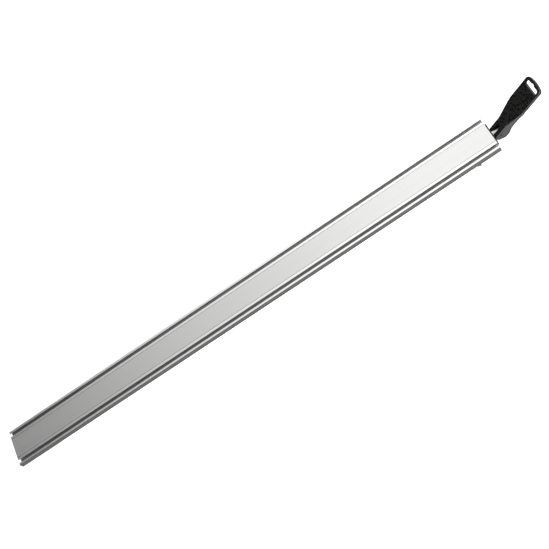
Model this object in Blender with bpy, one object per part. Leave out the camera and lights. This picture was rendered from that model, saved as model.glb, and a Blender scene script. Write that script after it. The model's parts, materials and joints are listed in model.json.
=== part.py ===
"""Straight edge clamp guide: an aluminium guide rail, with two jaws under it that a cam lever draws together.

The rail lies along X with its lever end at +X and its top panel in the plane Z = 0. The origin is the middle
of that panel. The near jaw is fixed under the lever end. The far jaw grips a draw bar that runs inside the
rail, and slides along it. The cam lever rolls on the end plate and pulls the draw bar, and with it the far
jaw, towards +X.
"""

import math

import bmesh
import bpy
from mathutils import Vector

MM = 0.001
GAP = 0.3 * MM                       # clearance between pieces that touch

# Rail section
RAIL_LENGTH = 1073 * MM
RAIL_HALF_WIDTH = 38.1 * MM
RAIL_HEIGHT = 12.7 * MM
SCRIBE_LINE = 21 * MM                # distance of each fine V line from the middle
SLOT_CENTRE = 29.75 * MM
SLOT_HALF_OPENING = 3.3 * MM
SLOT_LIP = 2.0 * MM
SLOT_HALF_CAVITY = 5.7 * MM
SLOT_FLOOR = -10.2 * MM
CHANNEL_HALF_WIDTH = 13 * MM
CHANNEL_HALF_OPENING = 10 * MM
CHANNEL_TOP = -2.2 * MM
CHANNEL_LIP_TOP = -10.7 * MM
CELL_INNER = 15 * MM
CELL_OUTER = 22.5 * MM
PORT_CENTRE = (17.6 * MM, -6.45 * MM)
PORT_OUTER_RADIUS = 2.9 * MM
PORT_HOLE_RADIUS = 1.8 * MM

NEAR_END = RAIL_LENGTH / 2
FAR_END = -RAIL_LENGTH / 2
UNDERSIDE = -RAIL_HEIGHT - GAP       # top of whatever is held against the underside of the rail
JAW_BOTTOM = -30 * MM

# End plate, draw bar and cam
PLATE_THICKNESS = 2.2 * MM
PLATE_TOP = -2.3 * MM
PLATE_BOTTOM = -18.3 * MM
PLATE_HALF_WIDTH = 22 * MM
PLATE_FACE = NEAR_END + GAP + PLATE_THICKNESS
BAR_HALF_WIDTH = 3.5 * MM
BAR_TOP = -7.0 * MM
BAR_BOTTOM = -11.6 * MM
BAR_MIDDLE = (BAR_TOP + BAR_BOTTOM) / 2
BAR_HEAD_BOTTOM = -13.4 * MM
PIVOT_Z = -10 * MM
PIN_RADIUS = 1.6 * MM
PIN_HOLE_RADIUS = PIN_RADIUS + GAP
CAM_UPRIGHT_RADIUS = 7.87 * MM       # from the pivot to the end plate with the lever upright
CAM_RISE = 2.2 * MM                  # added to that distance per radian as the lever comes down

# Lever, with lengths measured from its pivot
LEVER_ANGLE = math.radians(32)       # of the lever above the rail, at rest
LEVER_TIP = 113 * MM
LEVER_HALF_WIDTH = 21.6 * MM
LEVER_TOP_SLOPE = -0.0214            # the top face comes slowly nearer to the pivot's level towards the tip
LEVER_EDGE_RADIUS = 2.4 * MM
FORK_HALF_GAP = 3.9 * MM
FORK_HALF_WIDTH = 11.7 * MM


def cam_distance(angle):
    """Distance of the pivot from the end plate when the plate's direction is at this angle to the lever."""
    return CAM_UPRIGHT_RADIUS + CAM_RISE * (angle - math.pi / 2)


PIVOT_X = PLATE_FACE + GAP + cam_distance(math.pi - LEVER_ANGLE)
PIVOT = Vector((PIVOT_X, 0, PIVOT_Z))

# Return springs
SPRING_PIN_X = NEAR_END - 20 * MM
SPRING_PIN_RADIUS = 1 * MM
SPRING_CENTRE_Y = 8 * MM
SPRING_RADIUS = 1.6 * MM
SPRING_WIRE_RADIUS = 0.35 * MM

# Near jaw
JAW_PLATE = (NEAR_END - 46 * MM, NEAR_END - 42.5 * MM)
JAW_FLANGE_END = NEAR_END - 8 * MM
JAW_FLANGE_BOTTOM = UNDERSIDE - 3.5 * MM
JAW_HALF_WIDTH = 30 * MM
JAW_SCREW = (NEAR_END - 34 * MM, 7.2 * MM)
PAD_THICKNESS = 3.2 * MM
PAD_TOP = -13.8 * MM

# Far jaw, measured from its own outer end
FAR_JAW_START = FAR_END + 18.5 * MM
FAR_JAW_LENGTH = 60 * MM
FAR_JAW_HALF_WIDTH = 24 * MM
NECK_HALF_WIDTH = 9.6 * MM
HEAD_HALF_WIDTH = 12.5 * MM
HEAD_TOP = -2.6 * MM
LOCK_PLATE_THICKNESS = 2.4 * MM
LOCK_PLATE_PITCH = 3.0 * MM
LOCK_TILT = math.radians(2.4)
LOCK_PIVOT = Vector((FAR_JAW_START + 32.4 * MM, 0, -3.2 * MM))
RELEASE_PIVOT = Vector((FAR_JAW_START + 44 * MM, 0, -17.2 * MM))

SIDES = (("left", 1), ("right", -1))    # looking along +X: the left side is at +Y


# Outlines: closed lists of points in a plane


def circle(centre, radius, steps=24):
    turns = [2 * math.pi * i / steps for i in range(steps)]
    return [(centre[0] + radius * math.cos(t), centre[1] + radius * math.sin(t)) for t in turns]


def arc(centre, radius, start, end, steps):
    turns = [start + (end - start) * i / steps for i in range(steps + 1)]
    return [(centre[0] + radius * math.cos(t), centre[1] + radius * math.sin(t)) for t in turns]


def fillet(corners, steps=4):
    """The outline through corners (a, b, radius), with each corner rounded by an arc of its radius."""
    outline = []
    for before, corner, after in zip(corners[-1:] + corners[:-1], corners, corners[1:] + corners[:1]):
        here, radius = Vector(corner[:2]), corner[2]
        if not radius:
            outline.append(tuple(here))
            continue
        back = (Vector(before[:2]) - here).normalized()
        ahead = (Vector(after[:2]) - here).normalized()
        half = back.angle(ahead) / 2
        centre = here + (back + ahead).normalized() * (radius / math.sin(half))
        start = here + back * (radius / math.tan(half)) - centre
        end = here + ahead * (radius / math.tan(half)) - centre
        sweep = math.atan2(start.x * end.y - start.y * end.x, start.dot(end))
        first = math.atan2(start.y, start.x)
        outline += arc(centre, radius, first, first + sweep, steps)
    return outline


def rectangle(low_a, high_a, low_b, high_b, radius=0.0, steps=4):
    corners = [(low_a, low_b), (high_a, low_b), (high_a, high_b), (low_a, high_b)]
    return fillet([(a, b, radius) for a, b in corners], steps)


def mirrored(points):
    """A closed outline: a run of points, then its mirror image with the first direction reversed."""
    return list(points) + [(-p[0], *p[1:]) for p in reversed(points)]


# Solids


def prism(axis, low, high, outline, holes=()):
    """An outline with holes, drawn out along an axis. The outline's directions are the other two."""
    place = {
        "X": lambda a, b: (low, a, b),
        "Y": lambda a, b: (a, low, b),
        "Z": lambda a, b: (a, b, low),
    }[axis]
    along = {"X": Vector((1, 0, 0)), "Y": Vector((0, 1, 0)), "Z": Vector((0, 0, 1))}[axis]
    bm = bmesh.new()
    for loop in (outline, *holes):
        corners = [bm.verts.new(place(a, b)) for a, b in loop]
        for first, second in zip(corners, corners[1:] + corners[:1]):
            bm.edges.new((first, second))
    bmesh.ops.triangle_fill(bm, use_beauty=True, use_dissolve=False, edges=bm.edges[:])
    drawn = bmesh.ops.extrude_face_region(bm, geom=bm.faces[:])
    moved = [item for item in drawn["geom"] if isinstance(item, bmesh.types.BMVert)]
    bmesh.ops.translate(bm, vec=along * (high - low), verts=moved)
    bmesh.ops.recalc_face_normals(bm, faces=bm.faces[:])
    return bm


def turned(start, direction, profile, steps=20):
    """A solid turned about the line from start along direction, through points (distance along, radius)."""
    direction = Vector(direction).normalized()
    side = direction.orthogonal().normalized()
    other = direction.cross(side)
    bm = bmesh.new()
    rings = []
    for distance, radius in profile:
        centre = Vector(start) + direction * distance
        turns = [2 * math.pi * i / steps for i in range(steps)]
        spokes = [side * math.cos(t) + other * math.sin(t) for t in turns]
        rings.append([bm.verts.new(centre + spoke * radius) for spoke in spokes])
    bm.faces.new(rings[0])
    bm.faces.new(rings[-1])
    for ring, following in zip(rings, rings[1:]):
        for i in range(steps):
            j = (i + 1) % steps
            bm.faces.new((ring[i], ring[j], following[j], following[i]))
    bmesh.ops.recalc_face_normals(bm, faces=bm.faces[:])
    return bm


def coil(start, length, radius, wire_radius, turns, steps=12, sides=6):
    """A compression spring along +X from start, with a closed turn at each end."""
    bm = bmesh.new()
    count = turns * steps
    closed = wire_radius * 2.15
    rings = []
    for i in range(count + 1):
        turn = i / steps
        inner = min(max(turn - 1, 0), turns - 2) / (turns - 2)
        end_part = min(turn, 1) + max(turn - (turns - 1), 0)
        along = closed * end_part + inner * (length - 2 * wire_radius - 2 * closed) + wire_radius
        angle = 2 * math.pi * turn
        outward = Vector((0, math.cos(angle), math.sin(angle)))
        centre = Vector(start) + Vector((along, 0, 0)) + outward * radius
        around = [2 * math.pi * k / sides for k in range(sides)]
        rings.append([
            bm.verts.new(centre + (outward * math.cos(a) + Vector((1, 0, 0)) * math.sin(a)) * wire_radius)
            for a in around
        ])
    bm.faces.new(rings[0])
    bm.faces.new(rings[-1])
    for ring, following in zip(rings, rings[1:]):
        for k in range(sides):
            j = (k + 1) % sides
            bm.faces.new((ring[k], ring[j], following[j], following[k]))
    bmesh.ops.recalc_face_normals(bm, faces=bm.faces[:])
    return bm


def joined(pieces):
    """Several meshes in one, each still its own body."""
    whole = bmesh.new()
    for piece in pieces:
        mesh = bpy.data.meshes.new("piece")
        piece.to_mesh(mesh)
        piece.free()
        whole.from_mesh(mesh)
        bpy.data.meshes.remove(mesh)
    return whole


# Objects


def finish(name, colour, roughness, metallic):
    material = bpy.data.materials.new(name)
    material.use_nodes = True
    shader = material.node_tree.nodes["Principled BSDF"]
    shader.inputs["Base Color"].default_value = (*colour, 1)
    shader.inputs["Roughness"].default_value = roughness
    shader.inputs["Metallic"].default_value = metallic
    return material


def empty(name, at, parent=None):
    axis = bpy.data.objects.new(name, None)
    bpy.context.collection.objects.link(axis)
    axis.parent = parent
    axis.location = Vector(at) - (Vector(parent["at"]) if parent else Vector())
    axis["at"] = tuple(at)
    return axis


def add(name, bm, look, parent=None, smooth=True):
    """An object from a mesh drawn in the rail's frame, with its origin on its parent's joint axis."""
    origin = Vector(parent["at"]) if parent else Vector()
    bmesh.ops.translate(bm, vec=-origin, verts=bm.verts[:])
    mesh = bpy.data.meshes.new(name)
    bm.to_mesh(mesh)
    bm.free()
    if smooth:
        mesh.shade_smooth()
        mesh.set_sharp_from_angle(angle=math.radians(35))
    mesh.materials.append(finish(name, *look))
    thing = bpy.data.objects.new(name, mesh)
    bpy.context.collection.objects.link(thing)
    thing.parent = parent
    return thing


def combine(target, operation, name, bm):
    """Cuts a mesh out of an object, joins it on, or keeps what they share, with a Boolean modifier."""
    tool = add(name, bm, CUTTER, target.parent, smooth=False)
    tool.hide_render = True
    tool.display_type = "WIRE"
    change = target.modifiers.new(name, "BOOLEAN")
    change.operation = operation
    change.solver = "EXACT"
    change.object = tool
    return tool


def add_screw(name, look, tip, direction, shank_radius, shank_length, head_radius, head_height, flush=False):
    """A screw with a hexagon socket, from its tip to the top of its cylindrical or flush conical head."""
    edge = 0.4 * MM
    head_end = shank_length + head_height
    shank = [(0, shank_radius - edge), (edge, shank_radius), (shank_length, shank_radius)]
    if flush:
        head = [(head_end - 0.2 * MM, head_radius), (head_end, head_radius)]
    else:
        head = [(shank_length, head_radius), (head_end - edge, head_radius), (head_end, head_radius - edge)]
    body = add(name, turned(tip, direction, shank + head), look)
    socket_floor = Vector(tip) + Vector(direction) * (shank_length + head_height * 0.4)
    socket_radius = head_radius * 0.45
    socket = turned(socket_floor, direction, [(0, socket_radius), (head_height, socket_radius)], steps=6)
    combine(body, "DIFFERENCE", name + "_socket", socket)


def add_pin(name, at, radius, half_length, look, parent):
    """A plain round pin along Y with its ends chamfered, through a point (x, z)."""
    edge, length = 0.3 * MM, 2 * half_length
    profile = [(0, radius - edge), (edge, radius), (length - edge, radius), (length, radius - edge)]
    add(name, turned((at[0], -half_length, at[1]), (0, 1, 0), profile), look, parent)


# Looks: colour, roughness, metallic
SILVER = ((0.78, 0.78, 0.77), 0.38, 1.0)
BLACK_LEVER = ((0.018, 0.018, 0.019), 0.62, 0.0)
BLACK_PLASTIC = ((0.022, 0.022, 0.024), 0.55, 0.0)
BLACK_STEEL = ((0.03, 0.03, 0.032), 0.45, 0.6)
BLACK_COATED = ((0.03, 0.03, 0.032), 0.5, 0.0)
ZINC = ((0.66, 0.67, 0.68), 0.32, 1.0)
SPRING_STEEL = ((0.45, 0.45, 0.46), 0.3, 1.0)
RUBBER = ((0.02, 0.02, 0.02), 0.85, 0.0)
CUTTER = ((0.8, 0.3, 0.1), 0.5, 0.0)


def rail_section():
    """The right half of the rail's outline, from the middle of its top to the middle of its channel."""
    v_half, v_depth = 0.4 * MM, 0.45 * MM
    mouth = (SLOT_CENTRE - SLOT_HALF_OPENING, SLOT_CENTRE + SLOT_HALF_OPENING)
    cavity = (SLOT_CENTRE - SLOT_HALF_CAVITY, SLOT_CENTRE + SLOT_HALF_CAVITY)
    return [
        (SCRIBE_LINE - v_half, 0, 0), (SCRIBE_LINE, -v_depth, 0), (SCRIBE_LINE + v_half, 0, 0),
        (mouth[0], 0, 0.45 * MM), (mouth[0], -SLOT_LIP, 0),
        (cavity[0], -SLOT_LIP, 0.4 * MM), (cavity[0], SLOT_FLOOR, 0.5 * MM),
        (cavity[1], SLOT_FLOOR, 0.5 * MM), (cavity[1], -SLOT_LIP, 0.4 * MM),
        (mouth[1], -SLOT_LIP, 0), (mouth[1], 0, 0.45 * MM),
        (RAIL_HALF_WIDTH, 0, 1.3 * MM), (RAIL_HALF_WIDTH, -RAIL_HEIGHT, 1.6 * MM),
        (CHANNEL_HALF_OPENING, -RAIL_HEIGHT, 0.4 * MM), (CHANNEL_HALF_OPENING, CHANNEL_LIP_TOP, 0.3 * MM),
        (CHANNEL_HALF_WIDTH, CHANNEL_LIP_TOP, 0), (CHANNEL_HALF_WIDTH, CHANNEL_TOP, 0.5 * MM),
    ]


def cell_outline():
    """The hollow beside the channel, with the round screw port standing into it."""
    reach = CELL_INNER - PORT_CENTRE[0]
    meet = math.acos(reach / PORT_OUTER_RADIUS)
    low, high = CHANNEL_LIP_TOP, CHANNEL_TOP
    port = arc(PORT_CENTRE, PORT_OUTER_RADIUS, -meet, meet, 16)
    return port + [(CELL_INNER, high), (CELL_OUTER, high), (CELL_OUTER, low), (CELL_INNER, low)]


def build_rail():
    outline = fillet(mirrored(rail_section()), steps=4)
    cells = [cell_outline(), [(-y, z) for y, z in cell_outline()]]
    ports = [circle((side * PORT_CENTRE[0], PORT_CENTRE[1]), PORT_HOLE_RADIUS) for side in (-1, 1)]
    add("rail", prism("X", FAR_END, NEAR_END, outline, cells + ports), SILVER)


def build_end_plate():
    outline = fillet([
        (PLATE_HALF_WIDTH, PLATE_TOP, 2 * MM), (PLATE_HALF_WIDTH, PLATE_BOTTOM, 3 * MM),
        (-PLATE_HALF_WIDTH, PLATE_BOTTOM, 3 * MM), (-PLATE_HALF_WIDTH, PLATE_TOP, 2 * MM),
    ])
    slot = rectangle(-4.2 * MM, 4.2 * MM, BAR_BOTTOM - 0.6 * MM, BAR_TOP + 0.6 * MM, 1 * MM)
    plate = add("end_plate", prism("X", NEAR_END + GAP, PLATE_FACE, outline, [slot]), BLACK_STEEL)

    head_radius, head_height, sunk = 3.0 * MM, 1.6 * MM, 0.15 * MM
    tip_x = NEAR_END - 14 * MM
    sinks = []
    for name, side in SIDES:
        y, z = side * PORT_CENTRE[0], PORT_CENTRE[1]
        add_screw("end_plate_screw_" + name, BLACK_STEEL, (tip_x, y, z), (1, 0, 0), 1.5 * MM,
                  PLATE_FACE - sunk - head_height - tip_x, head_radius, head_height, flush=True)
        sinks.append(turned((NEAR_END - 1 * MM, y, z), (1, 0, 0), [
            (0, PORT_HOLE_RADIUS), (PLATE_FACE - NEAR_END - 1 * MM, PORT_HOLE_RADIUS),
            (PLATE_FACE - NEAR_END + 1 * MM, head_radius + GAP),
            (PLATE_FACE - NEAR_END + 3 * MM, head_radius + GAP),
        ], steps=24))
    combine(plate, "DIFFERENCE", "end_plate_countersinks", joined(sinks))


def build_near_jaw():
    plate_start, plate_end = JAW_PLATE
    section = fillet([
        (plate_start, UNDERSIDE, 0), (plate_start, JAW_BOTTOM, 0.8 * MM), (plate_end, JAW_BOTTOM, 0.8 * MM),
        (plate_end, JAW_FLANGE_BOTTOM, 2.5 * MM), (JAW_FLANGE_END, JAW_FLANGE_BOTTOM, 1 * MM),
        (JAW_FLANGE_END, UNDERSIDE, 0.8 * MM),
    ])
    jaw = add("near_jaw", prism("Y", -JAW_HALF_WIDTH, JAW_HALF_WIDTH, section), BLACK_COATED)
    rib = fillet([
        (plate_end - 1 * MM, JAW_FLANGE_BOTTOM + 1 * MM, 0), (plate_end - 1 * MM, JAW_BOTTOM + 2 * MM, 0),
        (plate_end + 1.5 * MM, JAW_BOTTOM + 2 * MM, 1 * MM), (NEAR_END - 14 * MM, JAW_FLANGE_BOTTOM, 1 * MM),
        (NEAR_END - 14 * MM, JAW_FLANGE_BOTTOM + 1 * MM, 0),
    ])
    ribs = [prism("Y", side * 22 * MM - 2 * MM, side * 22 * MM + 2 * MM, rib) for side in (-1, 1)]
    combine(jaw, "UNION", "near_jaw_ribs", joined(ribs))
    holes = [
        turned((JAW_SCREW[0], side * JAW_SCREW[1], JAW_FLANGE_BOTTOM - 2 * MM), (0, 0, 1),
               [(0, 2.3 * MM), (8 * MM, 2.3 * MM)], steps=24)
        for side in (-1, 1)
    ]
    combine(jaw, "DIFFERENCE", "near_jaw_holes", joined(holes))

    pad_half = JAW_HALF_WIDTH - 1 * MM
    pad = rectangle(-pad_half, pad_half, JAW_BOTTOM + 0.5 * MM, PAD_TOP, 1.5 * MM)
    face = plate_start - GAP
    add("near_jaw_pad", prism("X", face - PAD_THICKNESS, face, pad), RUBBER)

    tip_z = -7.4 * MM
    for name, side in SIDES:
        inner, outer = sorted((side * 3.9 * MM, side * 12.6 * MM))
        outline = rectangle(JAW_SCREW[0] - 9 * MM, JAW_SCREW[0] + 6 * MM, inner, outer, 0.8 * MM)
        hole = circle((JAW_SCREW[0], side * JAW_SCREW[1]), 2.3 * MM)
        add("near_jaw_nut_" + name, prism("Z", CHANNEL_LIP_TOP + GAP, -7.0 * MM, outline, [hole]), ZINC)
        add_screw("near_jaw_screw_" + name, ZINC, (JAW_SCREW[0], side * JAW_SCREW[1], tip_z), (0, 0, -1),
                  2.0 * MM, tip_z - JAW_FLANGE_BOTTOM + GAP, 3.5 * MM, 3.2 * MM)


def build_bar_guide():
    start, end = FAR_END + 1 * MM, FAR_END + 13 * MM
    screw_x = (start + end) / 2
    screw_y = 7 * MM
    section = fillet(mirrored([
        (12.6 * MM, -2.5 * MM, 0.8 * MM), (12.6 * MM, CHANNEL_LIP_TOP + GAP, 0.4 * MM),
        (BAR_HALF_WIDTH + 0.4 * MM, CHANNEL_LIP_TOP + GAP, 0.4 * MM),
        (BAR_HALF_WIDTH + 0.4 * MM, BAR_TOP + 0.4 * MM, 0.4 * MM),
    ]))
    guide = add("bar_guide", prism("X", start, end, section), BLACK_PLASTIC)
    bores = [
        turned((screw_x, side * screw_y, -14 * MM), (0, 0, 1), [(0, 1.8 * MM), (9.4 * MM, 1.8 * MM)])
        for side in (-1, 1)
    ]
    combine(guide, "DIFFERENCE", "bar_guide_bores", joined(bores))

    outline = rectangle(start, end, -18 * MM, 18 * MM, 2.5 * MM)
    holes = [circle((screw_x, side * screw_y), 1.8 * MM) for side in (-1, 1)]
    stop_bottom = UNDERSIDE - 2 * MM
    add("end_stop", prism("Z", stop_bottom, UNDERSIDE, outline, holes), BLACK_STEEL)

    tip_z = -5.0 * MM
    for name, side in SIDES:
        add_screw("end_stop_screw_" + name, ZINC, (screw_x, side * screw_y, tip_z), (0, 0, -1),
                  1.5 * MM, tip_z - stop_bottom + GAP, 3 * MM, 2.2 * MM)


def build_draw_bar(slide):
    """A flat bar that runs the length of the rail, with a deeper head for the pivot pin."""
    far = FAR_END + 5 * MM
    head_start, head_end = PIVOT_X - 4.5 * MM, PIVOT_X + 6.8 * MM
    outline = fillet([
        (far, BAR_BOTTOM, 0), (far, BAR_TOP, 0), (head_end, BAR_TOP, 1 * MM),
        (head_end, BAR_HEAD_BOTTOM, 2.5 * MM), (head_start, BAR_HEAD_BOTTOM, 1 * MM),
        (head_start, BAR_BOTTOM, 0.5 * MM),
    ])
    holes = [
        circle((PIVOT_X, PIVOT_Z), PIN_HOLE_RADIUS),
        circle((SPRING_PIN_X, BAR_MIDDLE), SPRING_PIN_RADIUS + GAP, 16),
    ]
    add("draw_bar", prism("Y", -BAR_HALF_WIDTH, BAR_HALF_WIDTH, outline, holes), ZINC, slide)
    add_pin("spring_pin", (SPRING_PIN_X, BAR_MIDDLE), SPRING_PIN_RADIUS, 10.6 * MM, SPRING_STEEL, slide)


def build_return_springs():
    start = SPRING_PIN_X + SPRING_PIN_RADIUS + GAP
    end = NEAR_END
    for name, side in SIDES:
        at = (start, side * SPRING_CENTRE_Y, BAR_MIDDLE)
        spring = coil(at, end - start, SPRING_RADIUS, SPRING_WIRE_RADIUS, 8)
        add("return_spring_" + name, spring, SPRING_STEEL)


def lever_top(x):
    """Height of the lever's flat top face above its pivot."""
    return CAM_UPRIGHT_RADIUS + LEVER_TOP_SLOPE * (x + CAM_RISE)


def lever_side():
    """The cam, lobe and underside of the lever seen from its side, with its pivot at the origin."""
    cam = []
    for i in range(13):
        angle = math.pi / 2 * (1 + i / 12)
        reach = cam_distance(angle)
        cam.append((reach * math.cos(angle) - CAM_RISE * math.sin(angle),
                    reach * math.sin(angle) + CAM_RISE * math.cos(angle)))
    above = 2 * MM
    corners = [(cam[0][0], cam[0][1] + above, 0)] + [(*point, 0) for point in cam] + [
        (-11.0 * MM, -5.8 * MM, 5 * MM), (-2.7 * MM, -15.8 * MM, 7 * MM), (7.0 * MM, -16.6 * MM, 10 * MM),
        (25.9 * MM, -9.4 * MM, 25 * MM), (45.5 * MM, -3.1 * MM, 40 * MM), (64.5 * MM, -0.7 * MM, 60 * MM),
        (LEVER_TIP + above, -1.7 * MM, 0), (LEVER_TIP + above, lever_top(LEVER_TIP) + above, 0),
    ]
    return fillet(corners, steps=5)


def lever_plan():
    """The lever seen from above: two straight fork arms, flaring into a broad handle with a bowed tip."""
    bow_radius, bow_half_chord = 63 * MM, 16 * MM
    spread = math.asin(bow_half_chord / bow_radius)
    bow = [(x, y, 0) for x, y in arc((LEVER_TIP - bow_radius, 0), bow_radius, spread, -spread, 8)]
    corner_x = bow[0][0] - (LEVER_HALF_WIDTH - bow_half_chord) * math.tan(spread)
    half = [
        (-25 * MM, FORK_HALF_WIDTH, 0), (20.5 * MM, FORK_HALF_WIDTH + 0.2 * MM, 30 * MM),
        (58.5 * MM, LEVER_HALF_WIDTH - 0.5 * MM, 45 * MM), (corner_x, LEVER_HALF_WIDTH, 6 * MM),
    ]
    return fillet(half + bow + [(x, -y, r) for x, y, r in reversed(half)], steps=6)


def rounded_blank(outline, top, edge_radius, bottom):
    """A block with the outline as its walls and a flat, tilted top face whose edges are rounded."""
    inward = []
    for before, here, after in zip(outline[-1:] + outline[:-1], outline, outline[1:] + outline[:1]):
        along = (Vector(after) - Vector(before)).normalized()
        inward.append(Vector((along.y, -along.x)))
    bm = bmesh.new()
    rings = [[bm.verts.new((x, y, bottom)) for x, y in outline]]
    for i in range(5):
        turn = math.pi / 2 * i / 4
        inset, drop = edge_radius * (1 - math.cos(turn)), edge_radius * (1 - math.sin(turn))
        ring = []
        for (x, y), way in zip(outline, inward):
            at = Vector((x, y)) + way * inset
            ring.append(bm.verts.new((at.x, at.y, top(at.x) - drop)))
        rings.append(ring)
    bm.faces.new(rings[0])
    bm.faces.new(rings[-1])
    for ring, following in zip(rings, rings[1:]):
        for i in range(len(ring)):
            j = (i + 1) % len(ring)
            bm.faces.new((ring[i], ring[j], following[j], following[i]))
    bmesh.ops.recalc_face_normals(bm, faces=bm.faces[:])
    return bm


def hang_hole():
    """A long slot across the tip of the lever, with a shallow bump in the middle of its outer side."""
    inner, outer, half = 98.1 * MM, 106.5 * MM, 17.2 * MM
    bump_radius, bump_spread = 6.6 * MM, math.radians(45)
    centre_x = outer - bump_radius * math.cos(bump_spread)
    bump = [(x, y, 0) for x, y in arc((centre_x, 0), bump_radius, -bump_spread, bump_spread, 8)]
    corners = [(inner, -half, 2 * MM), (outer, -half, 3.5 * MM)]
    return fillet(corners + bump + [(x, -y, r) for x, y, r in reversed(corners)])


def build_cam_lever(hinge):
    """The lever is drawn level, about its pivot, and then turned up to its rest angle."""
    side = 22.5 * MM
    lever = add("cam_lever", prism("Y", -side, side, lever_side()), BLACK_LEVER)
    reach = 20 * MM
    fork = rectangle(-30 * MM, 12.8 * MM, -FORK_HALF_GAP, FORK_HALF_GAP, 3.4 * MM)
    blank = rounded_blank(lever_plan(), lever_top, LEVER_EDGE_RADIUS, -reach)
    pin_hole = prism("Y", -30 * MM, 30 * MM, circle((0, 0), PIN_HOLE_RADIUS))
    tools = [
        combine(lever, "INTERSECT", "lever_blank", blank),
        combine(lever, "DIFFERENCE", "lever_fork", prism("Z", -reach, reach, fork)),
        combine(lever, "DIFFERENCE", "lever_hang_hole", prism("Z", -reach, reach, hang_hole())),
        combine(lever, "DIFFERENCE", "lever_pin_hole", pin_hole),
    ]
    pockets = []
    for start, half_start, half_end in ((33, 11.5, 15.5), (54, 16.5, 18), (75, 18.2, 18.2)):
        end = start + 18
        outline = fillet([
            (start * MM, -half_start * MM, 2 * MM), (end * MM, -half_end * MM, 2 * MM),
            (end * MM, half_end * MM, 2 * MM), (start * MM, half_start * MM, 2 * MM),
        ])
        pockets.append(prism("Z", -reach, 2 * MM, outline))
    tools.append(combine(lever, "DIFFERENCE", "lever_pockets", joined(pockets)))
    for thing in (lever, *tools):
        thing.parent = hinge
        thing.rotation_euler = (0, -LEVER_ANGLE, 0)
    add_pin("pivot_pin", (PIVOT_X, PIVOT_Z), PIN_RADIUS, FORK_HALF_WIDTH - 0.4 * MM, BLACK_STEEL, hinge)


def build_far_jaw(slide):
    start, end = FAR_JAW_START, FAR_JAW_START + FAR_JAW_LENGTH
    block = rectangle(start, end, -FAR_JAW_HALF_WIDTH, FAR_JAW_HALF_WIDTH, 3 * MM)
    body = add("far_jaw_body", prism("Z", JAW_BOTTOM, UNDERSIDE, block), BLACK_PLASTIC, slide)
    head = fillet(mirrored([
        (HEAD_HALF_WIDTH, HEAD_TOP, 0.8 * MM), (HEAD_HALF_WIDTH, CHANNEL_LIP_TOP + GAP, 0.3 * MM),
        (NECK_HALF_WIDTH, CHANNEL_LIP_TOP + GAP, 0), (NECK_HALF_WIDTH, UNDERSIDE - 1 * MM, 0),
    ]))
    combine(body, "UNION", "far_jaw_head", prism("X", start + 2 * MM, end - 2 * MM, head))
    room = 0.4 * MM
    bore = rectangle(-BAR_HALF_WIDTH - room, BAR_HALF_WIDTH + room, BAR_BOTTOM - room, BAR_TOP + room)
    combine(body, "DIFFERENCE", "far_jaw_bore", prism("X", start - 5 * MM, end + 5 * MM, bore))

    below = JAW_BOTTOM - 1 * MM
    window = rectangle(start + 20 * MM, start + 36 * MM, -9.1 * MM, 9.1 * MM)
    combine(body, "DIFFERENCE", "lock_plate_window", prism("Z", below, 0, window))
    lever_well = fillet([
        (start - 1 * MM, below, 0), (start + 50 * MM, below, 0), (start + 50 * MM, -13.4 * MM, 1 * MM),
        (start + 38 * MM, -13.4 * MM, 1 * MM), (start + 35 * MM, -20.5 * MM, 0),
        (start - 1 * MM, -20.5 * MM, 0),
    ])
    combine(body, "DIFFERENCE", "release_lever_well", prism("Y", -7.6 * MM, 7.6 * MM, lever_well))
    pin_hole = circle((RELEASE_PIVOT.x, RELEASE_PIVOT.z), 1.8 * MM)
    combine(body, "DIFFERENCE", "release_pin_hole", prism("Y", -30 * MM, 30 * MM, pin_hole))

    pad_half = FAR_JAW_HALF_WIDTH - 1 * MM
    pad = rectangle(-pad_half, pad_half, JAW_BOTTOM + 0.5 * MM, PAD_TOP, 1.5 * MM)
    add("far_jaw_pad", prism("X", end + GAP, end + GAP + PAD_THICKNESS, pad), RUBBER, slide)
    add_pin("release_pin", (RELEASE_PIVOT.x, RELEASE_PIVOT.z), 1.5 * MM, 22 * MM, SPRING_STEEL, slide)
    spring_at = (start + 20 * MM + GAP, 0, -17.2 * MM)
    add("lock_spring", coil(spring_at, 6.4 * MM, 2.1 * MM, 0.35 * MM, 5), SPRING_STEEL, slide)


def build_lock_plates(hinge):
    """Two plates round the draw bar, drawn upright and then cocked, with their lower ends towards +X."""
    outline = rectangle(-8.8 * MM, 8.8 * MM, -21.3 * MM, 0, 1 * MM)
    window = rectangle(-BAR_HALF_WIDTH - 0.4 * MM, BAR_HALF_WIDTH + 0.4 * MM,
                       BAR_BOTTOM - 0.45 * MM - LOCK_PIVOT.z, BAR_TOP + 0.45 * MM - LOCK_PIVOT.z, 0.3 * MM, 2)
    for i in range(2):
        front = -i * LOCK_PLATE_PITCH
        shape = prism("X", front - LOCK_PLATE_THICKNESS, front, outline, [window])
        plate = add(f"lock_plate_{i + 1}", shape, SPRING_STEEL)
        plate.parent = hinge
        plate.rotation_euler = (0, -LOCK_TILT, 0)


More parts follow.
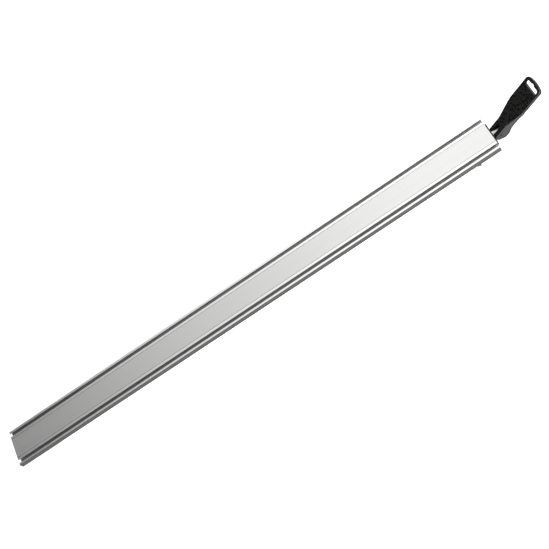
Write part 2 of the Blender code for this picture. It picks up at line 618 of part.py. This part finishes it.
def build_release_lever(hinge):
    """A squeeze lever hung from its pin, with a lug behind the lock plates and a long tab under them."""
    x, z = RELEASE_PIVOT.x, RELEASE_PIVOT.z
    start = FAR_JAW_START
    hub = arc((x, z), 3.4 * MM, math.radians(-30), math.radians(200), 12)
    tab_top, tab_bottom = -26.7 * MM, -28.7 * MM
    corners = [(*point, 0) for point in hub] + [
        (start + 36.5 * MM, -20.8 * MM, 0.8 * MM), (start + 33.7 * MM, -22 * MM, 0.8 * MM),
        (start + 33.7 * MM, tab_top, 0.4 * MM), (start - 3 * MM, tab_top, 3 * MM),
        (start - 8 * MM, tab_top + 1.4 * MM, 0.9 * MM), (start - 8 * MM, tab_top - 0.6 * MM, 0.9 * MM),
        (start - 3 * MM, tab_bottom, 3 * MM), (start + 46 * MM, tab_bottom, 1.5 * MM),
    ]
    pin = circle((x, z), 1.8 * MM)
    add("release_lever", prism("Y", -7 * MM, 7 * MM, fillet(corners, 3), [pin]), BLACK_STEEL, hinge)


def main():
    for thing in list(bpy.data.objects):
        bpy.data.objects.remove(thing)
    bar_slide = empty("draw_bar_slide", PIVOT)
    lever_hinge = empty("cam_lever_hinge", PIVOT, bar_slide)
    jaw_slide = empty("far_jaw_slide", (FAR_JAW_START, 0, 0), bar_slide)
    lock_hinge = empty("lock_plates_hinge", LOCK_PIVOT, jaw_slide)
    release_hinge = empty("release_lever_hinge", RELEASE_PIVOT, jaw_slide)

    build_rail()
    build_end_plate()
    build_near_jaw()
    build_bar_guide()
    build_return_springs()
    build_draw_bar(bar_slide)
    build_cam_lever(lever_hinge)
    build_far_jaw(jaw_slide)
    build_lock_plates(lock_hinge)
    build_release_lever(release_hinge)


main()
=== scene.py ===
"""The looks of a straight edge clamp guide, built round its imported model.

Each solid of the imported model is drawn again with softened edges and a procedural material.
The lever, the jaw pads and the springs get geometry of their own. Sizes are in metres, and
places come from the model's boxes and joints.
"""

import json
import math

import bmesh
import bpy
from mathutils import Matrix, Vector, noise


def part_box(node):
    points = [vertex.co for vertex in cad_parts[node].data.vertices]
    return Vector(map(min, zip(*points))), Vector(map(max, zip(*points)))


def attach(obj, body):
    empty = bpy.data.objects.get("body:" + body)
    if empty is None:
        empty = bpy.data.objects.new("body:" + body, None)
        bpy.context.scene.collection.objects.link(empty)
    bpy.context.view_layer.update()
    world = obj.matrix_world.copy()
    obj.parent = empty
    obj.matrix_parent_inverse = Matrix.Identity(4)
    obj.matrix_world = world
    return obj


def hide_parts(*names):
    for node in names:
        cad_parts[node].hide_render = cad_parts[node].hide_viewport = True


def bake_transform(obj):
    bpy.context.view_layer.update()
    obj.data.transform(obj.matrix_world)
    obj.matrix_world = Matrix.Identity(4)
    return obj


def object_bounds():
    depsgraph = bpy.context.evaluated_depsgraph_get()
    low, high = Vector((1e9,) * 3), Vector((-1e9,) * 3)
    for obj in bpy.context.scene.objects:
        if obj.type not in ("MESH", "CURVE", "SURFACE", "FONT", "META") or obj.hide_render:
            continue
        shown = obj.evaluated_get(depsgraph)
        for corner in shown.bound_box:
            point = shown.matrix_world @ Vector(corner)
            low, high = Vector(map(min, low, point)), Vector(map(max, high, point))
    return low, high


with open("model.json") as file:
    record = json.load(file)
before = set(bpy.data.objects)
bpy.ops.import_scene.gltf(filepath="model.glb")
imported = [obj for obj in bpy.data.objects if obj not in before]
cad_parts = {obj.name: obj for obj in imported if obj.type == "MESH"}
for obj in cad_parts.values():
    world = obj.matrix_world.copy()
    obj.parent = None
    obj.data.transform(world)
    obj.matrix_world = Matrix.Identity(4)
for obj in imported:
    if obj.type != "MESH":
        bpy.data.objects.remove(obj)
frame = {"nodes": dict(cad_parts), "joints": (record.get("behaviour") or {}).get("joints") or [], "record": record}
cad_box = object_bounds()

MM = 0.001
JOINTS = {joint["name"]: joint for joint in frame["joints"]}
PIVOT = Vector(JOINTS["cam_lever_hinge"]["pos_m"])
LEVER_ANGLE = math.radians(-JOINTS["cam_lever_hinge"]["range_deg"][0])    # the lever's lower limit is level
_, RAIL_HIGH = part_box("rail")

CAMERA_PLACE = Vector((0.4391, -1.08795, 1.7551))
CAMERA_AIM = Vector((0.0749, 0.00185, 0.0))
CAMERA_ROLL = math.radians(-49.28)
CAMERA_LENS, SENSOR_WIDTH = 75.1, 36.0
FLOOR_HALF = 6.0


# Material nodes


def new_material(name, colour, roughness, metallic=0.0):
    material = bpy.data.materials.new(name)
    material.use_nodes = True
    shader = material.node_tree.nodes["Principled BSDF"]
    shader.inputs["Base Color"].default_value = (*colour, 1)
    shader.inputs["Roughness"].default_value = roughness
    shader.inputs["Metallic"].default_value = metallic
    return material, material.node_tree, shader


def node(tree, kind, inputs=None, **settings):
    """A node with its settings, and its inputs set to values or linked to outputs."""
    made = tree.nodes.new("ShaderNode" + kind)
    for name, value in settings.items():
        setattr(made, name, value)
    for name, value in (inputs or {}).items():
        if isinstance(value, bpy.types.NodeSocket):
            tree.links.new(value, made.inputs[name])
        else:
            made.inputs[name].default_value = value
    return made


def stretched_noise(tree, frequency, detail=3.0, roughness=0.5, turn=0.0):
    """Noise with its own frequency, in waves per metre, along each axis. A turn is about Y, in radians."""
    place = node(tree, "TexCoord").outputs["Object"]
    if turn:
        about_y = {"Vector": place, "Angle": turn}
        place = node(tree, "VectorRotate", about_y, rotation_type="Y_AXIS").outputs[0]
    scaled = node(tree, "VectorMath", {0: place, 1: frequency}, operation="MULTIPLY").outputs[0]
    texture = {"Vector": scaled, "Scale": 1.0, "Detail": detail, "Roughness": roughness}
    return node(tree, "TexNoise", texture).outputs[0]


def spread(tree, value, low, high, from_low=0.3, from_high=0.7):
    """A noise value carried from its usual range to another one."""
    return node(tree, "MapRange", {
        "Value": value, "From Min": from_low, "From Max": from_high, "To Min": low, "To Max": high,
    }).outputs[0]


def maths(tree, operation, first, second=0.0):
    return node(tree, "Math", {0: first, 1: second}, operation=operation).outputs[0]


def mixed(tree, factor, first, second):
    """A colour between two, by a factor from 0 to 1."""
    made = node(tree, "Mix", {"Factor": factor}, data_type="RGBA")
    for socket, value in zip([s for s in made.inputs if s.type == "RGBA"], (first, second)):
        if isinstance(value, bpy.types.NodeSocket):
            tree.links.new(value, socket)
        else:
            socket.default_value = (*value, 1)
    return [s for s in made.outputs if s.type == "RGBA"][0]


def bump(tree, height, depth, under=None):
    """A bump from a height of 0 to 1 that stands for a real depth, laid over another bump."""
    inputs = {"Height": height, "Distance": depth, "Strength": 1.0}
    if under:
        inputs["Normal"] = under
    return node(tree, "Bump", inputs).outputs[0]


def feed(tree, shader, **links):
    names = {"colour": "Base Color", "roughness": "Roughness", "metal": "Metallic", "normal": "Normal"}
    for name, output in links.items():
        tree.links.new(output, shader.inputs[names[name]])


def inside(tree, value, low, high):
    """1 where a value lies between two limits, and 0 elsewhere."""
    above, under = maths(tree, "GREATER_THAN", value, low), maths(tree, "LESS_THAN", value, high)
    return maths(tree, "MULTIPLY", above, under)


# Materials


def rail_material():
    """Satin anodised extrusion, drawn along its length: a matt panel, slots, V grooves and side walls darkened
    with painted shade, rougher side walls, and sawn ends.
    """
    material, tree, shader = new_material("satin_aluminium", (0.78, 0.78, 0.77), 0.36, 1.0)
    place = node(tree, "SeparateXYZ", {0: node(tree, "TexCoord").outputs["Object"]}).outputs
    off_middle = maths(tree, "ABSOLUTE", place["Y"])
    below = maths(tree, "MULTIPLY", place["Z"], -1.0)
    no_limit = 1.0

    def band(across, depths):
        """1 between two distances from the rail's middle and two depths under its top, and 0 elsewhere."""
        return maths(tree, "MULTIPLY", inside(tree, off_middle, *across), inside(tree, below, *depths))

    on_panel = band((-no_limit, 20.6 * MM), (-no_limit, 0.05 * MM))
    shaded_groove = band((20.5 * MM, 21.5 * MM), (0.03 * MM, 1.0 * MM))
    shaded_slot = band((23.9 * MM, 35.6 * MM), (0.55 * MM, 10.4 * MM))
    shaded_side_wall = band((36.4 * MM, no_limit), (0.10 * MM, no_limit))
    lines = stretched_noise(tree, (1.2, 1500, 1500), detail=4, roughness=0.7)
    wide_lines = stretched_noise(tree, (0.6, 170, 170), detail=2)
    clouds = stretched_noise(tree, (5, 30, 30), detail=4)
    speckle = stretched_noise(tree, (2600, 2600, 2600), detail=2)
    scuffs = spread(tree, stretched_noise(tree, (14, 900, 900), detail=1, roughness=0.2), 0, 1, 0.70, 0.76)

    lip = mixed(tree, spread(tree, clouds, 0, 1), (0.88, 0.88, 0.87), (0.92, 0.92, 0.915))
    panel = mixed(tree, spread(tree, speckle, 0, 1), (0.72, 0.72, 0.715), (0.78, 0.78, 0.775))
    # The slots' insides get a darker grey as painted shade.
    slot = mixed(tree, spread(tree, wide_lines, 0, 1), (0.42, 0.42, 0.41), (0.56, 0.56, 0.55))
    # The side walls get a near-black colour as painted shade, so they reflect little of the bright floor.
    edge = mixed(tree, spread(tree, wide_lines, 0, 1), (0.060, 0.060, 0.058), (0.085, 0.085, 0.083))
    colour = mixed(tree, on_panel, lip, panel)
    colour = mixed(tree, maths(tree, "MULTIPLY", scuffs, 0.35), colour, (0.90, 0.90, 0.90))
    # The V grooves' walls are painted dark grey as shade.
    colour = mixed(tree, shaded_groove, colour, (0.13, 0.13, 0.128))
    colour = mixed(tree, shaded_slot, colour, slot)
    colour = mixed(tree, shaded_side_wall, colour, edge)
    rough_lip = maths(tree, "ADD", spread(tree, lines, 0.26, 0.38), spread(tree, clouds, -0.02, 0.03))
    rough_panel = maths(tree, "ADD", spread(tree, speckle, 0.33, 0.42), spread(tree, wide_lines, -0.03, 0.03))
    rough = node(tree, "Mix", {"Factor": on_panel, "A": rough_lip, "B": rough_panel}).outputs[0]
    rough = node(tree, "Mix", {"Factor": shaded_side_wall, "A": rough, "B": 0.62}).outputs[0]
    metal = node(tree, "Mix", {"Factor": shaded_side_wall, "A": 1.0, "B": 0.15}).outputs[0]

    at_end = maths(tree, "GREATER_THAN", maths(tree, "ABSOLUTE", place["X"]), RAIL_HIGH.x - 0.05 * MM)
    saw = stretched_noise(tree, (10, 2200, 60), detail=2)
    drawn = bump(tree, lines, 0.006 * MM)
    grained = bump(tree, maths(tree, "MULTIPLY", speckle, on_panel), 0.010 * MM, under=drawn)
    normal = bump(tree, maths(tree, "MULTIPLY", saw, at_end), 0.03 * MM, under=grained)
    feed(tree, shader, colour=colour, roughness=rough, metal=metal, normal=normal)
    return material


# The wall zone carries a painted sheen on the upright walls, and the pit zone carries painted shade in the pits.
LEVER_ZONES = ("grain", "sheen_wall", "pit", "fleck")    # how much of each a point of the lever is, from 0 to 1


def lever_material():
    """Black moulded nylon: matt and pitted on top, with painted shade in the pits, smooth walls made grey by a
    painted sheen, and an underside painted near-black as shade.
    """
    material, tree, shader = new_material("lever_nylon", (0.012, 0.012, 0.012), 0.6)
    shader.inputs["Specular IOR Level"].default_value = 0.05
    grain, sheen_wall, pit, fleck = [
        node(tree, "Attribute", attribute_name=name).outputs["Fac"] for name in LEVER_ZONES
    ]
    fine = stretched_noise(tree, (1500, 1500, 1500), detail=3)
    streaks = stretched_noise(tree, (22, 160, 300), detail=3, turn=LEVER_ANGLE)
    top = mixed(tree, spread(tree, fine, 0, 1), (0.018, 0.0178, 0.017), (0.024, 0.0236, 0.023))
    # The pits are painted near-black as shade, on top of their real depth.
    top = mixed(tree, pit, top, (0.0008, 0.0008, 0.0008))
    top = mixed(tree, fleck, top, (0.050, 0.050, 0.050))
    # A lighter streaked grey on the upright walls as a painted sheen.
    side = mixed(tree, spread(tree, streaks, 0, 1), (0.052, 0.053, 0.052), (0.068, 0.069, 0.068))
    # What is neither top nor sheen wall, such as the underside, the bottom rim and the fork's inner walls, is
    # painted near-black (0.004) as shade.
    colour = mixed(tree, sheen_wall, mixed(tree, grain, (0.004, 0.004, 0.004), top), side)
    rough = node(tree, "Mix", {"Factor": sheen_wall, "A": spread(tree, fine, 0.66, 0.84),
                               "B": spread(tree, streaks, 0.38, 0.52)}).outputs[0]
    height = maths(tree, "MULTIPLY", fine, spread(tree, grain, 0.25, 1.0, 0, 1))
    feed(tree, shader, colour=colour, roughness=rough, normal=bump(tree, height, 0.05 * MM))
    return material


def steel_material(name, light, dark, roughness, line_frequency, line_depth):
    """Bare or plated steel: cloudy tone, fine lines and rubbed patches."""
    material, tree, shader = new_material(name, light, roughness, 1.0)
    clouds = stretched_noise(tree, (90, 90, 90), detail=5, roughness=0.65)
    lines = stretched_noise(tree, line_frequency, detail=3, roughness=0.7)
    specks = stretched_noise(tree, (900, 900, 900), detail=2)
    colour = mixed(tree, spread(tree, clouds, 0, 1), dark, light)
    rough = maths(tree, "ADD", spread(tree, lines, roughness - 0.07, roughness + 0.07),
                  spread(tree, clouds, 0.06, -0.06))
    normal = bump(tree, lines, line_depth, under=bump(tree, specks, 0.004 * MM))
    feed(tree, shader, colour=colour, roughness=rough, normal=normal)
    return material


def blackened_material():
    """Black oxide on steel: almost black, faintly mottled, with lighter rubbed specks."""
    material, tree, shader = new_material("black_oxide_steel", (0.03, 0.03, 0.032), 0.42, 0.7)
    clouds = stretched_noise(tree, (160, 160, 160), detail=5, roughness=0.6)
    specks = stretched_noise(tree, (1300, 1300, 1300), detail=3)
    rubbed = spread(tree, specks, 0, 1, 0.66, 0.74)
    mottled = mixed(tree, spread(tree, clouds, 0, 1), (0.018, 0.018, 0.020), (0.045, 0.044, 0.044))
    colour = mixed(tree, maths(tree, "MULTIPLY", rubbed, 0.5), mottled, (0.20, 0.20, 0.20))
    feed(tree, shader, colour=colour, roughness=spread(tree, clouds, 0.34, 0.52),
         normal=bump(tree, specks, 0.012 * MM))
    return material


def coated_material():
    """Black powder coat on cast metal: fine orange peel, with the coat rubbed thin in specks."""
    material, tree, shader = new_material("black_powder_coat", (0.03, 0.03, 0.032), 0.5)
    peel = stretched_noise(tree, (900, 900, 900), detail=2)
    clouds = stretched_noise(tree, (70, 70, 70), detail=4)
    rubbed = spread(tree, stretched_noise(tree, (1300, 1300, 1300), detail=3), 0, 1, 0.68, 0.76)
    mottled = mixed(tree, spread(tree, clouds, 0, 1), (0.022, 0.022, 0.023), (0.036, 0.036, 0.037))
    colour = mixed(tree, maths(tree, "MULTIPLY", rubbed, 0.5), mottled, (0.22, 0.22, 0.22))
    feed(tree, shader, colour=colour, roughness=spread(tree, peel, 0.42, 0.60),
         normal=bump(tree, peel, 0.03 * MM))
    return material


def nylon_material():
    """Black moulded nylon with a fine spark-eroded grain."""
    material, tree, shader = new_material("black_nylon", (0.02, 0.02, 0.022), 0.55)
    grain = stretched_noise(tree, (1400, 1400, 1400), detail=3, roughness=0.6)
    clouds = stretched_noise(tree, (60, 60, 60), detail=4)
    colour = mixed(tree, spread(tree, clouds, 0, 1), (0.014, 0.014, 0.015), (0.028, 0.028, 0.030))
    feed(tree, shader, colour=colour, roughness=spread(tree, grain, 0.48, 0.66),
         normal=bump(tree, grain, 0.03 * MM))
    return material


def rubber_material():
    """Dense black rubber: dull, faintly dusty in its hollows."""
    material, tree, shader = new_material("rubber", (0.02, 0.02, 0.02), 0.85)
    fine = stretched_noise(tree, (1100, 1100, 1100), detail=4)
    dust = stretched_noise(tree, (130, 130, 130), detail=5, roughness=0.7)
    colour = mixed(tree, spread(tree, dust, 0, 1, 0.5, 0.8), (0.014, 0.014, 0.014), (0.055, 0.053, 0.050))
    feed(tree, shader, colour=colour, roughness=spread(tree, fine, 0.78, 0.95),
         normal=bump(tree, fine, 0.04 * MM))
    return material


LOOKS = {
    "rail_aluminium": rail_material(),
    "lever_nylon": lever_material(),
    "black_nylon": nylon_material(),
    "rubber": rubber_material(),
    "black_steel": blackened_material(),
    "jaw_aluminium": coated_material(),
    "zinc_steel": steel_material("zinc_plated_steel", (0.72, 0.73, 0.74), (0.58, 0.58, 0.57), 0.32,
                                 (300, 1500, 1500), 0.006 * MM),
    "spring_steel": steel_material("spring_steel", (0.52, 0.52, 0.53), (0.36, 0.36, 0.37), 0.30,
                                   (1600, 260, 1600), 0.005 * MM),
}
SLOTS = {part["node"]: part["material_slot"] for part in frame["record"]["subparts"]}
BODIES = {
    member: body
    for body, members in frame["record"]["behaviour"]["bodies"].items()
    for member in members
}


# Pieces


def as_piece(name, mesh, stands_for, modifiers=(), rides=True):
    """An object that takes a node's place, finish and, unless it bends between two bodies, its body."""
    piece = bpy.data.objects.new(name, mesh)
    bpy.context.scene.collection.objects.link(piece)
    mesh.materials.clear()
    mesh.materials.append(LOOKS[SLOTS[stands_for]])
    for kind, settings in modifiers:
        added = piece.modifiers.new(kind.lower(), kind)
        for key, value in settings.items():
            setattr(added, key, value)
    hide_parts(stands_for)
    if rides:
        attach(piece, BODIES[stands_for])
    return piece


def whole_faces(source):
    """A copy of a node's mesh with its triangles joined into whole flat faces."""
    bm = bmesh.new()
    bm.from_mesh(frame["nodes"][source].data)
    bmesh.ops.remove_doubles(bm, verts=bm.verts[:], dist=0.0005 * MM)
    bmesh.ops.dissolve_limit(bm, angle_limit=math.radians(0.5), verts=bm.verts[:], edges=bm.edges[:])
    return bm


def to_mesh(bm, name, sharp=35):
    mesh = bpy.data.meshes.new(name)
    bm.to_mesh(mesh)
    bm.free()
    mesh.shade_smooth()
    mesh.set_sharp_from_angle(angle=math.radians(sharp))
    return mesh


def softened(source, width):
    """A node drawn again with its sharp edges rounded."""
    mesh = to_mesh(whole_faces(source), source + "_fine", sharp=180)
    edges = ("BEVEL", {
        "width": width, "segments": 2, "limit_method": "ANGLE", "angle_limit": math.radians(38),
        "harden_normals": True, "use_clamp_overlap": True,
    })
    as_piece(source + "_fine", mesh, source, [edges])


def build_rail():
    mesh = to_mesh(whole_faces("rail"), "rail_fine", sharp=28)
    flat_faces = ("WEIGHTED_NORMAL", {"mode": "FACE_AREA", "weight": 100, "keep_sharp": True})
    as_piece("rail_fine", mesh, "rail", [flat_faces])


def ramp(value, low, high):
    """How far a value is from one limit to another, from 0 to 1."""
    return min(max((value - low) / (high - low), 0.0), 1.0)


def pit_at(place):
    """How far a place on the lever's top is into a pit and into a light fleck, each from 0 to 1."""
    reach, slope = 0.50, 0.14
    pitted_share, fleck_share = 0.62, 0.07
    distances, centres = noise.voronoi(place)
    kind = noise.cell(centres[0] * 7.3)
    depth = ramp(reach - distances[0], 0, slope)
    return (depth if kind < pitted_share else 0.0), (depth if kind > 1 - fleck_share else 0.0)


def build_lever():
    """The lever, remeshed finely so that its edges round over, with real pits in its top face."""
    voxel, edge_rounds = 0.45 * MM, 5
    pit_pitch, pit_depth, fleck_height = 3.5 * MM, 0.35 * MM, 0.10 * MM
    fork_reach, fork_half, hole_start, hole_side = 16 * MM, 5 * MM, 94 * MM, 13 * MM
    # The first number is the height of the band at the bottom of each wall that is painted near-black as shade
    # instead of getting the sheen.
    shade_rim, column, top_start = 1.8 * MM, 0.6 * MM, 2.5 * MM
    bm = bmesh.new()
    bm.from_mesh(frame["nodes"]["cam_lever"].data)
    bmesh.ops.remove_doubles(bm, verts=bm.verts[:], dist=0.0005 * MM)
    mesh = to_mesh(bm, "cam_lever_fine", sharp=180)
    piece = as_piece("cam_lever_fine", mesh, "cam_lever", [
        ("REMESH", {"mode": "VOXEL", "voxel_size": voxel, "use_smooth_shade": True}),
        ("SMOOTH", {"factor": 0.5, "iterations": edge_rounds}),
    ])
    evaluated = piece.evaluated_get(bpy.context.evaluated_depsgraph_get())
    fine = bpy.data.meshes.new_from_object(evaluated)
    piece.modifiers.clear()
    piece.data = fine

    upright = Matrix.Rotation(LEVER_ANGLE, 3, "Y")        # turns the lever's own frame level
    levels = [upright @ (vertex.co - PIVOT) for vertex in fine.vertices]
    normals = [vertex.normal.copy() for vertex in fine.vertices]
    underside = {}
    for level in levels:
        key = round(level.x / column)
        underside[key] = min(underside.get(key, level.z), level.z)
    grain, sheen_wall, pit, fleck = [fine.attributes.new(name, "FLOAT", "POINT") for name in LEVER_ZONES]
    for vertex, normal, level in zip(fine.vertices, normals, levels):
        facing_up = (upright @ normal).z
        on_top = ramp(facing_up, 0.2, 0.5) if level.z > top_start else 0.0
        # The upright walls take the painted sheen.
        upright_wall = ramp(0.5 - abs(facing_up), 0, 0.25)
        above_shade_rim = ramp(level.z - underside[round(level.x / column)], shade_rim, 2 * shade_rim)
        # The fork's inner walls and the hole's end wall get no sheen and are painted near-black as shade.
        shaded_fork = level.x < fork_reach and abs(level.y) < fork_half
        shaded_hole_end = level.x > hole_start and level.y > hole_side and normal.y < 0
        pitted, flecked = pit_at(level / pit_pitch)
        grain.data[vertex.index].value = on_top
        pit.data[vertex.index].value = pitted * on_top
        fleck.data[vertex.index].value = flecked * on_top
        # Walls get the painted sheen, except the bottom rim, the fork's inner walls and the hole's end wall, which
        # are left to painted shade.
        sheen_wall.data[vertex.index].value = 0.0 if shaded_fork or shaded_hole_end else upright_wall * above_shade_rim
        vertex.co += normal * (on_top * (flecked * fleck_height - pitted * pit_depth))
    fine.materials.clear()
    fine.materials.append(LOOKS["lever_nylon"])


def build_pad(source, body_side):
    """A rubber pad with V grooves along its working face. body_side is the direction of the jaw behind it."""
    low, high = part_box(source)
    face, back = (low.x, high.x) if body_side > 0 else (high.x, low.x)
    grooves, groove_depth, groove_half = 5, 0.9 * MM, 0.7 * MM
    margin, edge = 2.2 * MM, 0.7 * MM
    pitch = (high.z - low.z - 2 * margin) / (grooves - 1)
    outline = [(back, high.z), (face + body_side * edge, high.z), (face, high.z - edge)]
    for i in range(grooves):
        centre = high.z - margin - i * pitch
        bottom = (face + body_side * groove_depth, centre)
        outline += [(face, centre + groove_half), bottom, (face, centre - groove_half)]
    outline += [(face, low.z + edge), (face + body_side * edge, low.z), (back, low.z)]
    bm = bmesh.new()
    near = [bm.verts.new((x, low.y, z)) for x, z in outline]
    section = bm.faces.new(near)
    drawn = bmesh.ops.extrude_face_region(bm, geom=[section])
    moved = [item for item in drawn["geom"] if isinstance(item, bmesh.types.BMVert)]
    bmesh.ops.translate(bm, vec=(0, high.y - low.y, 0), verts=moved)
    bmesh.ops.recalc_face_normals(bm, faces=bm.faces[:])
    as_piece(source + "_ribbed", to_mesh(bm, source + "_ribbed", sharp=180), source, [("BEVEL", {
        "width": 0.18 * MM, "segments": 2, "limit_method": "ANGLE", "angle_limit": math.radians(25),
        "harden_normals": True,
    })])


def build_spring(source, wire_radius, turns, rides=True):
    """A compression spring along X in the place of its node, with a closed turn at each end."""
    steps, sides = 28, 12
    low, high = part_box(source)
    middle = (low + high) / 2
    length = high.x - low.x
    radius = (high.y - low.y) / 2 - wire_radius
    closed = wire_radius * 2.15
    bm = bmesh.new()
    rings = []
    for i in range(turns * steps + 1):
        turn = i / steps
        inner = min(max(turn - 1, 0), turns - 2) / (turns - 2)
        ends = min(turn, 1) + max(turn - (turns - 1), 0)
        along = closed * ends + inner * (length - 2 * wire_radius - 2 * closed) + wire_radius
        outward = Vector((0, math.cos(2 * math.pi * turn), math.sin(2 * math.pi * turn)))
        centre = Vector((low.x + along, middle.y, middle.z)) + outward * radius
        around = [2 * math.pi * k / sides for k in range(sides)]
        ring = [outward * math.cos(a) + Vector((1, 0, 0)) * math.sin(a) for a in around]
        rings.append([bm.verts.new(centre + spoke * wire_radius) for spoke in ring])
    bm.faces.new(rings[0])
    bm.faces.new(rings[-1])
    for ring, following in zip(rings, rings[1:]):
        for k in range(sides):
            j = (k + 1) % sides
            bm.faces.new((ring[k], ring[j], following[j], following[k]))
    bmesh.ops.recalc_face_normals(bm, faces=bm.faces[:])
    return as_piece(source + "_fine", to_mesh(bm, source + "_fine", sharp=50), source, rides=rides)


def build_return_spring(source):
    """One end rests against the end plate and the other against the pin in the draw bar; the spring rides on no
    body.
    """
    spring = build_spring(source, 0.35 * MM, 8, rides=False)
    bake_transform(spring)


def build_pieces():
    build_rail()
    build_lever()
    build_pad("near_jaw_pad", 1)
    build_pad("far_jaw_pad", -1)
    for side in ("left", "right"):
        build_return_spring("return_spring_" + side)
        for name in ("end_plate_screw_", "near_jaw_screw_", "end_stop_screw_"):
            softened(name + side, 0.15 * MM)
        softened("near_jaw_nut_" + side, 0.3 * MM)
    build_spring("lock_spring", 0.35 * MM, 5)
    for name, width in {
        "end_plate": 0.25 * MM, "near_jaw": 0.35 * MM, "bar_guide": 0.3 * MM, "end_stop": 0.3 * MM,
        "draw_bar": 0.3 * MM, "spring_pin": 0.15 * MM, "pivot_pin": 0.12 * MM,
        "far_jaw_body": 0.4 * MM, "release_pin": 0.15 * MM, "lock_plate_1": 0.2 * MM,
        "lock_plate_2": 0.2 * MM, "release_lever": 0.35 * MM,
    }.items():
        softened(name, width)


# Stage


def build_camera():
    lens = bpy.data.cameras.new("camera")
    lens.lens, lens.sensor_width = CAMERA_LENS, SENSOR_WIDTH
    lens.clip_start, lens.clip_end = 0.05, 20
    camera = bpy.data.objects.new("camera", lens)
    bpy.context.scene.collection.objects.link(camera)
    toward = (CAMERA_AIM - CAMERA_PLACE).to_track_quat("-Z", "Y").to_matrix().to_4x4()
    camera.matrix_world = Matrix.Translation(CAMERA_PLACE) @ toward @ Matrix.Rotation(CAMERA_ROLL, 4, "Z")
    bpy.context.scene.camera = camera


def area_light(name, place, aim, size, power):
    light = bpy.data.lights.new(name, "AREA")
    light.shape = "RECTANGLE"
    light.size, light.size_y = size
    light.energy = power
    lamp = bpy.data.objects.new(name, light)
    bpy.context.scene.collection.objects.link(lamp)
    lamp.location = place
    lamp.rotation_euler = (Vector(aim) - Vector(place)).to_track_quat("-Z", "Y").to_euler()


def build_floor():
    """White paper under the part, bright enough to read as a cut-out's background."""
    corners = [(-1, -1), (1, -1), (1, 1), (-1, 1)]
    level = cad_box[0].z
    mesh = bpy.data.meshes.new("floor")
    mesh.from_pydata([(x * FLOOR_HALF, y * FLOOR_HALF, level) for x, y in corners], [], [(0, 1, 2, 3)])
    floor = bpy.data.objects.new("floor", mesh)
    bpy.context.scene.collection.objects.link(floor)
    paper, tree, shader = new_material("white_paper", (0.93, 0.93, 0.93), 0.9)
    mottle = spread(tree, stretched_noise(tree, (40, 40, 40), detail=4), 0, 1)
    feed(tree, shader, colour=mixed(tree, mottle, (0.925, 0.925, 0.925), (0.935, 0.935, 0.935)))
    shader.inputs["Emission Color"].default_value = (1, 1, 1, 1)
    shader.inputs["Emission Strength"].default_value = 0.75
    mesh.materials.append(paper)


def build_lights():
    """A studio that is dark towards -X, and two soft lamps at the lever's end."""
    world = bpy.data.worlds.new("studio")
    world.use_nodes = True
    tree = world.node_tree
    across = node(tree, "SeparateXYZ", {0: node(tree, "TexCoord").outputs["Generated"]}).outputs["X"]
    rise = node(tree, "MapRange", {
        "Value": across, "From Min": -0.44, "From Max": -0.20, "To Min": 0.02, "To Max": 1.12,
    }, interpolation_type="SMOOTHSTEP").outputs[0]
    fall = node(tree, "MapRange", {
        "Value": across, "From Min": 0.0, "From Max": 0.4, "To Min": 1.0, "To Max": 0.45,
    }, interpolation_type="SMOOTHSTEP").outputs[0]
    tree.nodes["Background"].inputs["Color"].default_value = (1, 1, 1, 1)
    tree.links.new(maths(tree, "MULTIPLY", rise, fall), tree.nodes["Background"].inputs["Strength"])
    bpy.context.scene.world = world
    area_light("softbox", (0.75, 1.25, 2.0), (0.35, 0.0, 0.0), (1.6, 1.2), 3)
    area_light("side_light", (1.0, -0.9, 0.6), (0.45, -0.25, 0.0), (0.9, 0.9), 12)


build_pieces()
build_camera()
build_floor()
build_lights()
bpy.context.scene.view_settings.view_transform = "Standard"
